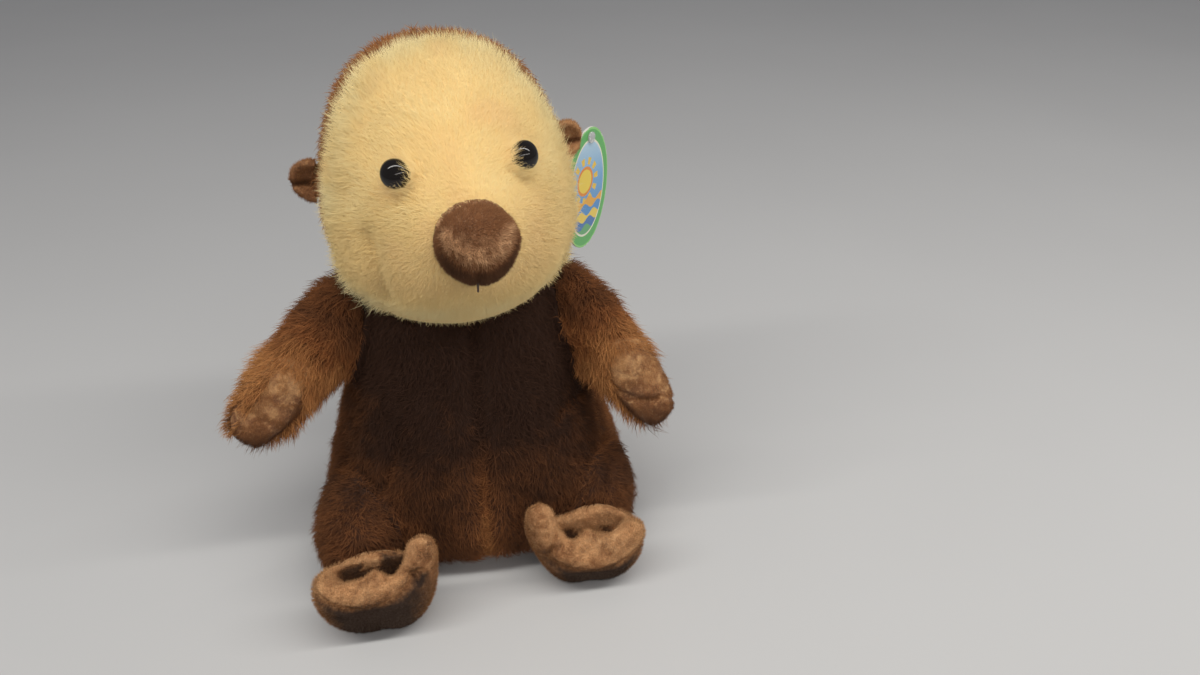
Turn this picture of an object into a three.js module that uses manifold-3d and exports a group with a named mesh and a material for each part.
// A seated plush toy otter, life size: a stuffed head and trunk in long pile, with a cream face panel,
// short-pile nose, ears, palms and webbed hind feet, domed plastic eyes and a card swing tag on one ear.
// Millimetres, +Z up. The toy faces -Y, +X is on its left hand side, and the origin is the middle of the
// flat of its seat, on the floor. The solids reach to the tips of the pile.
import * as THREE from "three";
import { mergeVertices } from "three/addons/utils/BufferGeometryUtils.js";
import Module from "manifold-3d";

// ---------------------------------------------------------------- driving dimensions
const GAP = 0.35; // left between pieces that touch
const SIDES = { right: -1, left: 1 }; // the toy's own right and left

const HEAD = {
  centre: [-1, 0, 200], // where the head is widest
  yawDeg: 6.5, // turned a little to the toy's left
  rollDeg: 1.3, // and leaning a little to its right
  halfWidth: 69,
  front: 64,
  back: 60,
  up: 97,
  down: 55,
  fullness: 0.75, // under 1 fills the cheeks and the crown out
  crownLean: -2, // the crown slumps this far to the toy's right
};
// Where the face panel ends, ahead of the ears: on top, and how much further forward at the cheeks and at
// the temples, half way up.
const SEAM = { y: -9, cheeks: 7, temples: 13 };
const MUZZLE = { reach: 17, halfWidth: 36, halfHeight: 32, height: 16 };
const NOSE = { halfWidth: 20, halfHeight: 19.5, depth: 15, height: 17, proud: 11, taper: 0.2 };
const EYE = { radius: 7, dome: 5.2, apart: 61.5, height: 48, sunk: 3.2 };
const EAR = { radius: 12.8, depth: 8.5, wall: 5, out: 66, height: 28, turnDeg: 24 };
const EAR_BACK = { right: 7, left: 13 }; // the tag pulls the left ear back

// Rings of the trunk: height, half width, reach to the front and reach to the back.
const TRUNK = [
  [0, 78, 62, 66],
  [9, 93, 78, 78],
  [24, 96, 84, 84],
  [52, 88, 80, 80],
  [84, 78, 72, 72],
  [116, 69, 62, 62],
  [146, 60, 50, 52],
  [170, 52, 36, 44],
  [188, 38, 22, 34],
  [198, 0, 0, 0],
];
const TRUNK_SQUARENESS = 2.3; // 2 would be an ellipse

const LEG = { z: 27, halfWidth: 34, halfLength: 50, halfHeight: 40, splayDeg: 10 };
const LEGS = { right: { out: 67, y: -44 }, left: { out: 62, y: -33 } };
const FOOT = {
  halfWidth: 27,
  front: 17, // from the middle of the cup to the middle of its front wall
  back: 12,
  toeWall: 13,
  heelWall: 6,
  lobeWall: 17.5,
  floorThickness: 10,
  flat: 2.5, // how much of the round sole is pressed flat
  headroom: 60, // the pile of the leg behind stays out of a dome this high over the cup
};
const FEET = {
  right: { at: [-63.5, -98, 0], turnDeg: 4, toes: 42, heel: 41, heelDeg: 92, inner: 66, outer: 46, ball: 7 },
  left: { at: [55, -86, 0], turnDeg: -8, toes: 33, heel: 42, heelDeg: 122, inner: 63, outer: 45, ball: 0 },
};

const ARM_HALF_THICKNESS = 19;
const ARMS = {
  right: { shoulder: [-50, -4, 168], elbow: [-84, -20, 132], tip: [-126, -48, 98], halfWidth: 27 },
  left: { shoulder: [46, -6, 164], elbow: [76, -30, 130], tip: [103, -70, 91], halfWidth: 26.5 },
};
const PALM = { halfLength: 32, halfWidth: 17, halfDepth: 15, along: -20, outward: 10 };
const PALM_FACES = [0.05, -0.72, 0.69]; // the palms are held up to the front

const TAIL = { root: [0, 60, 13], bend: [4, 112, 14], tip: [16, 165, 8], halfWidth: 24, halfHeight: 15 };

const TAG = {
  centre: [80.5, 38, 190],
  halfWidth: 24,
  halfHeight: 37,
  thickness: 1.2,
  holeRadius: 2,
  holeDrop: 6, // from the tag's top edge down to the middle of its hole
  turnDeg: 48, // from facing the front to facing the toy's left
  leanDeg: -8,
};
// A plastic barb from the back of the left ear, in at the back of the card and ending in a paddle.
const FASTENER = { start: [69, 23, 229], bow: [75, 37, 228], radius: 0.7, paddleRadius: 3.4, paddle: 0.9 };

const COLOURS = {
  cream: "#ead2a0",
  brown: "#4d2a17",
  velour: "#8a5a3c",
  eye: "#0c0a09",
  card: "#5fa63f",
  clear: "#dfe3e0",
};

// ---------------------------------------------------------------- solids
const wasm = await Module();
wasm.setup();

const { degToRad, lerp: mix, smoothstep } = THREE.MathUtils;
const vector = (list) => new THREE.Vector3(...list);

function solidOf(geometry, matrix = new THREE.Matrix4()) {
  const bare = geometry.index ? geometry.toNonIndexed() : geometry.clone();
  const positions = new THREE.BufferGeometry().setAttribute("position", bare.getAttribute("position"));
  const merged = mergeVertices(positions.applyMatrix4(matrix), 1e-3);
  return new wasm.Manifold(
    new wasm.Mesh({
      numProp: 3,
      vertProperties: merged.attributes.position.array,
      triVerts: new Uint32Array(merged.index.array),
    }),
  );
}

function geometryOf(solid) {
  const mesh = solid.getMesh();
  const geometry = new THREE.BufferGeometry();
  geometry.setAttribute("position", new THREE.BufferAttribute(mesh.vertProperties, 3));
  geometry.setIndex(new THREE.BufferAttribute(mesh.triVerts, 1));
  geometry.computeVertexNormals();
  return geometry;
}

const minus = (solid, ...cutters) => cutters.reduce((left, cutter) => left.subtract(cutter), solid);

const power = (value, exponent) => Math.sign(value) * Math.abs(value) ** exponent;
const bump = (distance) => Math.exp(-distance * distance);

// A closed skin from pole to pole: point(u, v) with u once round and v from 0 at one pole to 1 at the other.
function closedSkin(around, along, point) {
  const positions = [...point(0, 0)];
  for (let j = 1; j < along; j++)
    for (let i = 0; i < around; i++) positions.push(...point(i / around, j / along));
  positions.push(...point(0, 1));
  const last = positions.length / 3 - 1;
  const at = (i, j) => 1 + (j - 1) * around + (i % around);
  const faces = [];
  for (let i = 0; i < around; i++) {
    faces.push(0, at(i + 1, 1), at(i, 1));
    for (let j = 1; j < along - 1; j++) {
      faces.push(at(i, j), at(i + 1, j), at(i + 1, j + 1));
      faces.push(at(i, j), at(i + 1, j + 1), at(i, j + 1));
    }
    faces.push(last, at(i, along - 1), at(i + 1, along - 1));
  }
  const geometry = new THREE.BufferGeometry();
  geometry.setAttribute("position", new THREE.Float32BufferAttribute(positions, 3));
  geometry.setIndex(faces);
  return geometry;
}

// The same skin seen in a mirror across the toy's middle plane, with its faces still pointing out.
function mirrored(geometry) {
  const copy = geometry.clone().scale(-1, 1, 1);
  const faces = copy.index.array;
  for (let i = 0; i < faces.length; i += 3) [faces[i], faces[i + 1]] = [faces[i + 1], faces[i]];
  return copy;
}

function ellipsoid(around, along, radii) {
  return closedSkin(around, along, (u, v) => {
    const turn = 2 * Math.PI * u;
    const rise = Math.PI * (v - 0.5);
    return [
      radii[0] * Math.cos(rise) * Math.cos(turn),
      radii[1] * Math.cos(rise) * Math.sin(turn),
      radii[2] * Math.sin(rise),
    ];
  });
}

// A stuffed limb: rings of an oval section along a curve. halfWidth(t) lies along `wide`, halfHeight(t)
// square to it, and both ends are blunt and round.
function stuffedLimb(around, along, curve, wide, halfWidth, halfHeight) {
  const bluntness = 0.5;
  return closedSkin(around, along, (u, v) => {
    const t = 0.5 - 0.5 * Math.cos(Math.PI * v);
    const centre = curve.getPoint(t);
    const ahead = curve.getTangent(t);
    const up = new THREE.Vector3().crossVectors(ahead, wide).normalize();
    const across = new THREE.Vector3().crossVectors(up, ahead).normalize();
    const round = Math.sin(Math.PI * v) ** bluntness;
    const turn = 2 * Math.PI * u;
    centre.addScaledVector(across, halfWidth(t) * round * Math.cos(turn));
    centre.addScaledVector(up, halfHeight(t) * round * Math.sin(turn));
    return centre.toArray();
  });
}

const bend = (a, b, c) => new THREE.QuadraticBezierCurve3(vector(a), vector(b), vector(c));

// A cup of cloth with a rolled rim, its mouth facing +Z. outline(angle) is the middle of the wall as x, y,
// and the rim's height and the wall's thickness change with the angle too. The bottom is shifted by `keel`.
function cup(around, along, outline, rimHeight, wall, floorThickness, keel = 0) {
  const rimShare = 0.2; // of the way from the pole outside to the pole inside
  const outer = 0.5 - rimShare / 2;
  return closedSkin(around, along, (u, v) => {
    const angle = 2 * Math.PI * u;
    const [x, y] = outline(angle);
    const length = Math.hypot(x, y);
    const half = wall(angle) / 2;
    const rim = rimHeight(angle) - half;
    if (v > outer && v < 1 - outer) {
      const sweep = ((v - outer) / rimShare) * Math.PI;
      const scale = (length + half * Math.cos(sweep)) / length;
      return [x * scale, y * scale, rim + half * Math.sin(sweep)];
    }
    const inside = v > 0.5;
    const bow = (Math.PI / 2) * (inside ? (1 - v) / outer : v / outer);
    const reach = Math.sin(bow) ** (inside ? 0.9 : 0.72);
    const scale = ((length + (inside ? -half : half)) / length) * reach;
    const z = mix(inside ? floorThickness : 0, rim, 1 - Math.cos(bow));
    return [x * scale + keel * (1 - reach), y * scale, z];
  });
}

// ---------------------------------------------------------------- head, in its own frame
function headPoint(turn, rise, grow = 0) {
  const ring = Math.cos(rise) ** HEAD.fullness;
  const side = Math.sin(turn);
  const x = (HEAD.halfWidth + grow) * ring * Math.cos(turn);
  const y = ((side < 0 ? HEAD.front : HEAD.back) + grow) * ring * side;
  const z = ((rise > 0 ? HEAD.up : HEAD.down) + grow) * Math.sin(rise);
  const lean = HEAD.crownLean * Math.max(0, z / HEAD.up) ** 2;
  return [x + lean, y - muzzle(x, z) * Math.max(0, -side), z];
}

function muzzle(x, z) {
  const away = Math.hypot(x / MUZZLE.halfWidth, (z - MUZZLE.height) / MUZZLE.halfHeight);
  return MUZZLE.reach * bump(away);
}

const headSkin = (grow = 0) =>
  closedSkin(26, 18, (u, v) => headPoint(2 * Math.PI * u, Math.PI * (v - 0.5), grow));

// The y of the front of the head at a given x and z.
function headFront(x, z) {
  const rise = Math.asin(z / (z > 0 ? HEAD.up : HEAD.down));
  const across = x / (HEAD.halfWidth * Math.cos(rise) ** HEAD.fullness);
  return headPoint(-Math.acos(across), rise)[1];
}

function headNormal(x, z) {
  const step = 0.5;
  const dx = (headFront(x + step, z) - headFront(x - step, z)) / (2 * step);
  const dz = (headFront(x, z + step) - headFront(x, z - step)) / (2 * step);
  return new THREE.Vector3(dx, -1, dz).normalize();
}

// All that lies ahead of the seam round the face, or behind it by a gap: a shallow cone out to the seam.
function besideSeam(ahead) {
  const reach = 150;
  const headRadius = 80;
  const shift = ahead ? 0 : GAP;
  const far = ahead ? -2 * reach : 2 * reach;
  const cone = closedSkin(28, 2, (u, v) => {
    if (v === 0) return [0, ahead ? SEAM.y : far, 0];
    if (v === 1) return [0, ahead ? far : SEAM.y + shift, 0];
    const turn = 2 * Math.PI * u;
    const rise = Math.max(0, Math.sin(turn));
    const forward = SEAM.cheeks * (1 - rise) + 2 * SEAM.temples * rise * Math.abs(Math.cos(turn));
    const y = SEAM.y + shift - (forward * reach) / headRadius;
    return [reach * Math.cos(turn), y, reach * Math.sin(turn)];
  });
  return solidOf(cone);
}

function noseSkin(grow = 0) {
  const radii = [NOSE.halfWidth + grow, NOSE.depth + grow, NOSE.halfHeight + grow];
  const geometry = ellipsoid(16, 12, radii);
  const positions = geometry.attributes.position;
  for (let i = 0; i < positions.count; i++) {
    const widen = 1 + NOSE.taper * (positions.getZ(i) / NOSE.halfHeight);
    positions.setX(i, positions.getX(i) * Math.min(1, widen));
  }
  return geometry.translate(0, headFront(0, NOSE.height) + NOSE.depth - NOSE.proud, NOSE.height);
}

// A shallow plastic dome on a flat back, looking along +Y.
function eyeSkin(grow = 0) {
  const edge = 0.8;
  const profile = [
    new THREE.Vector2(0, -EYE.sunk - grow),
    new THREE.Vector2(EYE.radius + grow, -EYE.sunk - grow),
  ];
  const steps = 6;
  for (let i = 0; i <= steps; i++) {
    const angle = (i / steps) * (Math.PI / 2);
    const radius = i === steps ? 0 : (EYE.radius + grow) * Math.cos(angle);
    profile.push(new THREE.Vector2(radius, edge + (EYE.dome + grow - edge) * Math.sin(angle)));
  }
  return new THREE.LatheGeometry(profile, 18);
}

function eyePlace(side) {
  const x = (side * EYE.apart) / 2;
  const turn = new THREE.Quaternion().setFromUnitVectors(
    new THREE.Vector3(0, 1, 0),
    headNormal(x, EYE.height),
  );
  const at = new THREE.Vector3(x, headFront(x, EYE.height), EYE.height);
  return new THREE.Matrix4().compose(at, turn, new THREE.Vector3(1, 1, 1));
}

function earSkin(grow = 0) {
  const middle = EAR.radius - EAR.wall / 2;
  const outline = (angle) => [middle * Math.cos(angle), middle * Math.sin(angle)];
  const skin = cup(16, 14, outline, () => EAR.depth + 2 * grow, () => EAR.wall + 2 * grow, EAR.wall);
  return skin.translate(0, 0, -grow);
}

// The ear's mouth looks forward and a little outward.
function earPlace(name) {
  const side = SIDES[name];
  return new THREE.Matrix4()
    .makeTranslation(side * EAR.out, EAR_BACK[name], EAR.height)
    .multiply(new THREE.Matrix4().makeRotationZ(degToRad(side * EAR.turnDeg)))
    .multiply(new THREE.Matrix4().makeRotationX(degToRad(90)));
}

// ---------------------------------------------------------------- trunk and limbs, in the toy's frame
function trunkSkin(grow = 0) {
  const along = 16;
  const widths = TRUNK.map(([z, width]) => new THREE.Vector3(z, width, 0));
  const depths = TRUNK.map(([z, , front, back]) => new THREE.Vector3(z, front, back));
  const widthCurve = new THREE.CatmullRomCurve3(widths, false, "centripetal");
  const depthCurve = new THREE.CatmullRomCurve3(depths, false, "centripetal");
  return closedSkin(26, along, (u, v) => {
    if (v === 0) return [0, 0, -grow];
    if (v === 1) return [0, 0, TRUNK.at(-1)[0] + grow];
    const t = (v * along - 1) / (along - 1);
    const width = widthCurve.getPoint(t);
    const depth = depthCurve.getPoint(t);
    const turn = 2 * Math.PI * u;
    const c = power(Math.cos(turn), 2 / TRUNK_SQUARENESS);
    const s = power(Math.sin(turn), 2 / TRUNK_SQUARENESS);
    const reach = s < 0 ? depth.y : depth.z;
    return [c * (width.y + grow), s * (reach + grow), Math.max(width.x, 0) - (t === 0 ? grow : 0)];
  });
}

function legSkin(name) {
  const side = SIDES[name];
  return ellipsoid(16, 12, [LEG.halfWidth, LEG.halfLength, LEG.halfHeight])
    .rotateZ(degToRad(side * LEG.splayDeg))
    .translate(side * LEGS[name].out, LEGS[name].y, LEG.z);
}

// A webbed hind foot curled up like a cup. On the toy's right foot the inner toe is on the +X side: it
// stands highest, the outer toe is thick too, and the heel edge is thin.
function footSkin(foot, grow, filled) {
  const near = (angle, centreDeg, spreadDeg) => {
    const away = Math.atan2(Math.sin(angle - degToRad(centreDeg)), Math.cos(angle - degToRad(centreDeg)));
    return bump(away / degToRad(spreadDeg));
  };
  const innerToe = (angle) => near(angle, -18, 34);
  const outerToe = (angle) => near(angle, -158, 38);
  const heel = (angle) => near(angle, foot.heelDeg, 48);
  const outline = (angle) => [
    FOOT.halfWidth * power(Math.cos(angle), 0.9),
    (Math.sin(angle) < 0 ? FOOT.front : FOOT.back) * power(Math.sin(angle), 0.9),
  ];
  const toes = (angle) =>
    foot.toes + (foot.inner - foot.toes) * innerToe(angle) + (foot.outer - foot.toes) * outerToe(angle);
  const rim = (angle) => mix(toes(angle), foot.heel, heel(angle));
  const wall = (angle) =>
    mix(FOOT.toeWall, FOOT.heelWall, smoothstep(Math.sin(angle), -0.1, 0.8)) +
    (FOOT.lobeWall - FOOT.toeWall) * (innerToe(angle) + outerToe(angle));
  const floor = filled ? FOOT.headroom : FOOT.floorThickness;
  const rimAbove = (angle) => rim(angle) + FOOT.flat + 2 * grow;
  const wallGrown = (angle) => wall(angle) + 2 * grow;
  return cup(22, 16, outline, rimAbove, wallGrown, floor, foot.ball).translate(0, 0, -FOOT.flat);
}

// With filled, the hollow and a dome over it are solid too: the room that the foot takes up.
function footPlaced(name, grow = 0, filled = false) {
  const foot = FEET[name];
  const skin = footSkin(foot, grow, filled);
  const turned = SIDES[name] < 0 ? skin : mirrored(skin);
  return solidOf(turned.rotateZ(degToRad(foot.turnDeg)).translate(...foot.at));
}

const armCurve = (arm) => bend(arm.shoulder, arm.elbow, arm.tip);

function armSkin(arm) {
  const halfWidth = (t) => arm.halfWidth * (1 - 0.22 * t * t);
  const halfHeight = (t) => ARM_HALF_THICKNESS * (1 - 0.15 * t);
  return stuffedLimb(16, 12, armCurve(arm), new THREE.Vector3(0, 0.35, 1), halfWidth, halfHeight);
}

// The part of the hand that the palm covers: an oval patch on its front, wrapping the finger tips.
function palmSkin(arm, grow = 0) {
  const along = armCurve(arm).getTangent(1);
  const across = new THREE.Vector3().crossVectors(vector(PALM_FACES), along).normalize();
  const outward = new THREE.Vector3().crossVectors(along, across).normalize();
  const centre = vector(arm.tip).addScaledVector(along, PALM.along).addScaledVector(outward, PALM.outward);
  const place = new THREE.Matrix4().makeBasis(across, outward, along).setPosition(centre);
  const radii = [PALM.halfWidth, PALM.halfDepth, PALM.halfLength].map((radius) => radius + grow);
  return ellipsoid(14, 10, radii).applyMatrix4(place);
}

function tailSkin() {
  const curve = bend(TAIL.root, TAIL.bend, TAIL.tip);
  const halfWidth = (t) => TAIL.halfWidth * (1 - 0.45 * t);
  const halfHeight = (t) => TAIL.halfHeight * (1 - 0.4 * t);
  return stuffedLimb(16, 12, curve, new THREE.Vector3(1, 0, 0), halfWidth, halfHeight);
}

// ---------------------------------------------------------------- swing tag
function tagPlace() {
  const turn = degToRad(TAG.turnDeg);
  const across = new THREE.Vector3(Math.cos(turn), Math.sin(turn), 0);
  const facing = new THREE.Vector3(Math.sin(turn), -Math.cos(turn), 0);
  return new THREE.Matrix4()
    .makeBasis(across, new THREE.Vector3(0, 0, 1), facing)
    .setPosition(...TAG.centre)
    .multiply(new THREE.Matrix4().makeRotationZ(degToRad(TAG.leanDeg)));
}

function tagGeometry() {
  const outline = new THREE.Shape().absellipse(0, 0, TAG.halfWidth, TAG.halfHeight, 0, 2 * Math.PI);
  const holeY = TAG.halfHeight - TAG.holeDrop;
  outline.holes.push(new THREE.Path().absarc(0, holeY, TAG.holeRadius, 0, 2 * Math.PI, true));
  return new THREE.ExtrudeGeometry(outline, { depth: TAG.thickness, bevelEnabled: false, curveSegments: 20 });
}

function fastenerSolid() {
  const place = tagPlace();
  const inHole = (z) => new THREE.Vector3(0, TAG.halfHeight - TAG.holeDrop, z).applyMatrix4(place);
  const outside = TAG.thickness + GAP + FASTENER.paddle / 2;
  const points = [vector(FASTENER.start), vector(FASTENER.bow), inHole(-4), inHole(0), inHole(outside)];
  const section = new THREE.Shape().absarc(0, 0, FASTENER.radius, 0, 2 * Math.PI);
  const thread = new THREE.ExtrudeGeometry(section, {
    extrudePath: new THREE.CatmullRomCurve3(points),
    steps: 10,
    curveSegments: 4,
    bevelEnabled: false,
  });
  const disc = new THREE.CylinderGeometry(FASTENER.paddleRadius, FASTENER.paddleRadius, FASTENER.paddle, 12);
  disc.rotateX(Math.PI / 2).translate(0, TAG.halfHeight - TAG.holeDrop, outside);
  return solidOf(thread).add(solidOf(disc, place));
}

// ---------------------------------------------------------------- the toy
const toy = new THREE.Group();
const headGroup = new THREE.Group();
headGroup.position.set(...HEAD.centre);
headGroup.rotation.set(0, degToRad(-HEAD.rollDeg), degToRad(HEAD.yawDeg), "ZYX");
headGroup.updateMatrix();
toy.add(headGroup);

function add(group, name, geometry, colour, roughness = 0.95) {
  const material = new THREE.MeshStandardMaterial({ color: COLOURS[colour], roughness, metalness: 0 });
  const mesh = new THREE.Mesh(geometry, material);
  mesh.name = name;
  group.add(mesh);
  return mesh;
}

// Head pieces.
const head = solidOf(headSkin());
const headRoom = solidOf(headSkin(GAP));
const eyeSockets = Object.values(SIDES).map((side) => solidOf(eyeSkin(GAP), eyePlace(side)));
const face = minus(head.intersect(besideSeam(true)), solidOf(noseSkin(GAP)), ...eyeSockets);
add(headGroup, "face", geometryOf(face), "cream");
add(headGroup, "head_back", geometryOf(head.intersect(besideSeam(false))), "brown");
add(headGroup, "nose", noseSkin(), "velour");
for (const [name, side] of Object.entries(SIDES)) {
  add(headGroup, "eye_" + name, geometryOf(solidOf(eyeSkin(), eyePlace(side))), "eye", 0.08);
  add(headGroup, "ear_" + name, geometryOf(minus(solidOf(earSkin(), earPlace(name)), headRoom)), "velour");
}

// Trunk, legs, feet, arms and tail.
const ground = solidOf(new THREE.BoxGeometry(600, 600, 100).translate(0, 0, -50));
const headInToy = headRoom.transform(headGroup.matrix.toArray());
const trunkRoom = solidOf(trunkSkin(GAP));
const footRooms = Object.keys(SIDES).map((name) => footPlaced(name, GAP, true));
add(toy, "trunk", geometryOf(minus(solidOf(trunkSkin()), headInToy, ...footRooms)), "brown");
for (const [name, arm] of Object.entries(ARMS)) {
  const leg = minus(solidOf(legSkin(name)), ground, trunkRoom, ...footRooms);
  add(toy, "leg_" + name, geometryOf(leg), "brown");
  add(toy, "foot_" + name, geometryOf(minus(footPlaced(name), ground)), "velour");
  const whole = minus(solidOf(armSkin(arm)), trunkRoom, headInToy);
  add(toy, "arm_" + name, geometryOf(minus(whole, solidOf(palmSkin(arm, GAP)))), "brown");
  add(toy, "palm_" + name, geometryOf(whole.intersect(solidOf(palmSkin(arm)))), "velour");
}
add(toy, "tail", geometryOf(minus(solidOf(tailSkin()), ground, trunkRoom)), "brown");

// Swing tag.
const tag = add(toy, "swing_tag", tagGeometry(), "card", 0.4);
tag.applyMatrix4(tagPlace());
const earRoom = solidOf(earSkin(GAP), earPlace("left")).transform(headGroup.matrix.toArray());
add(toy, "tag_fastener", geometryOf(minus(fastenerSolid(), earRoom, headInToy)), "clear", 0.3);

export default toy;
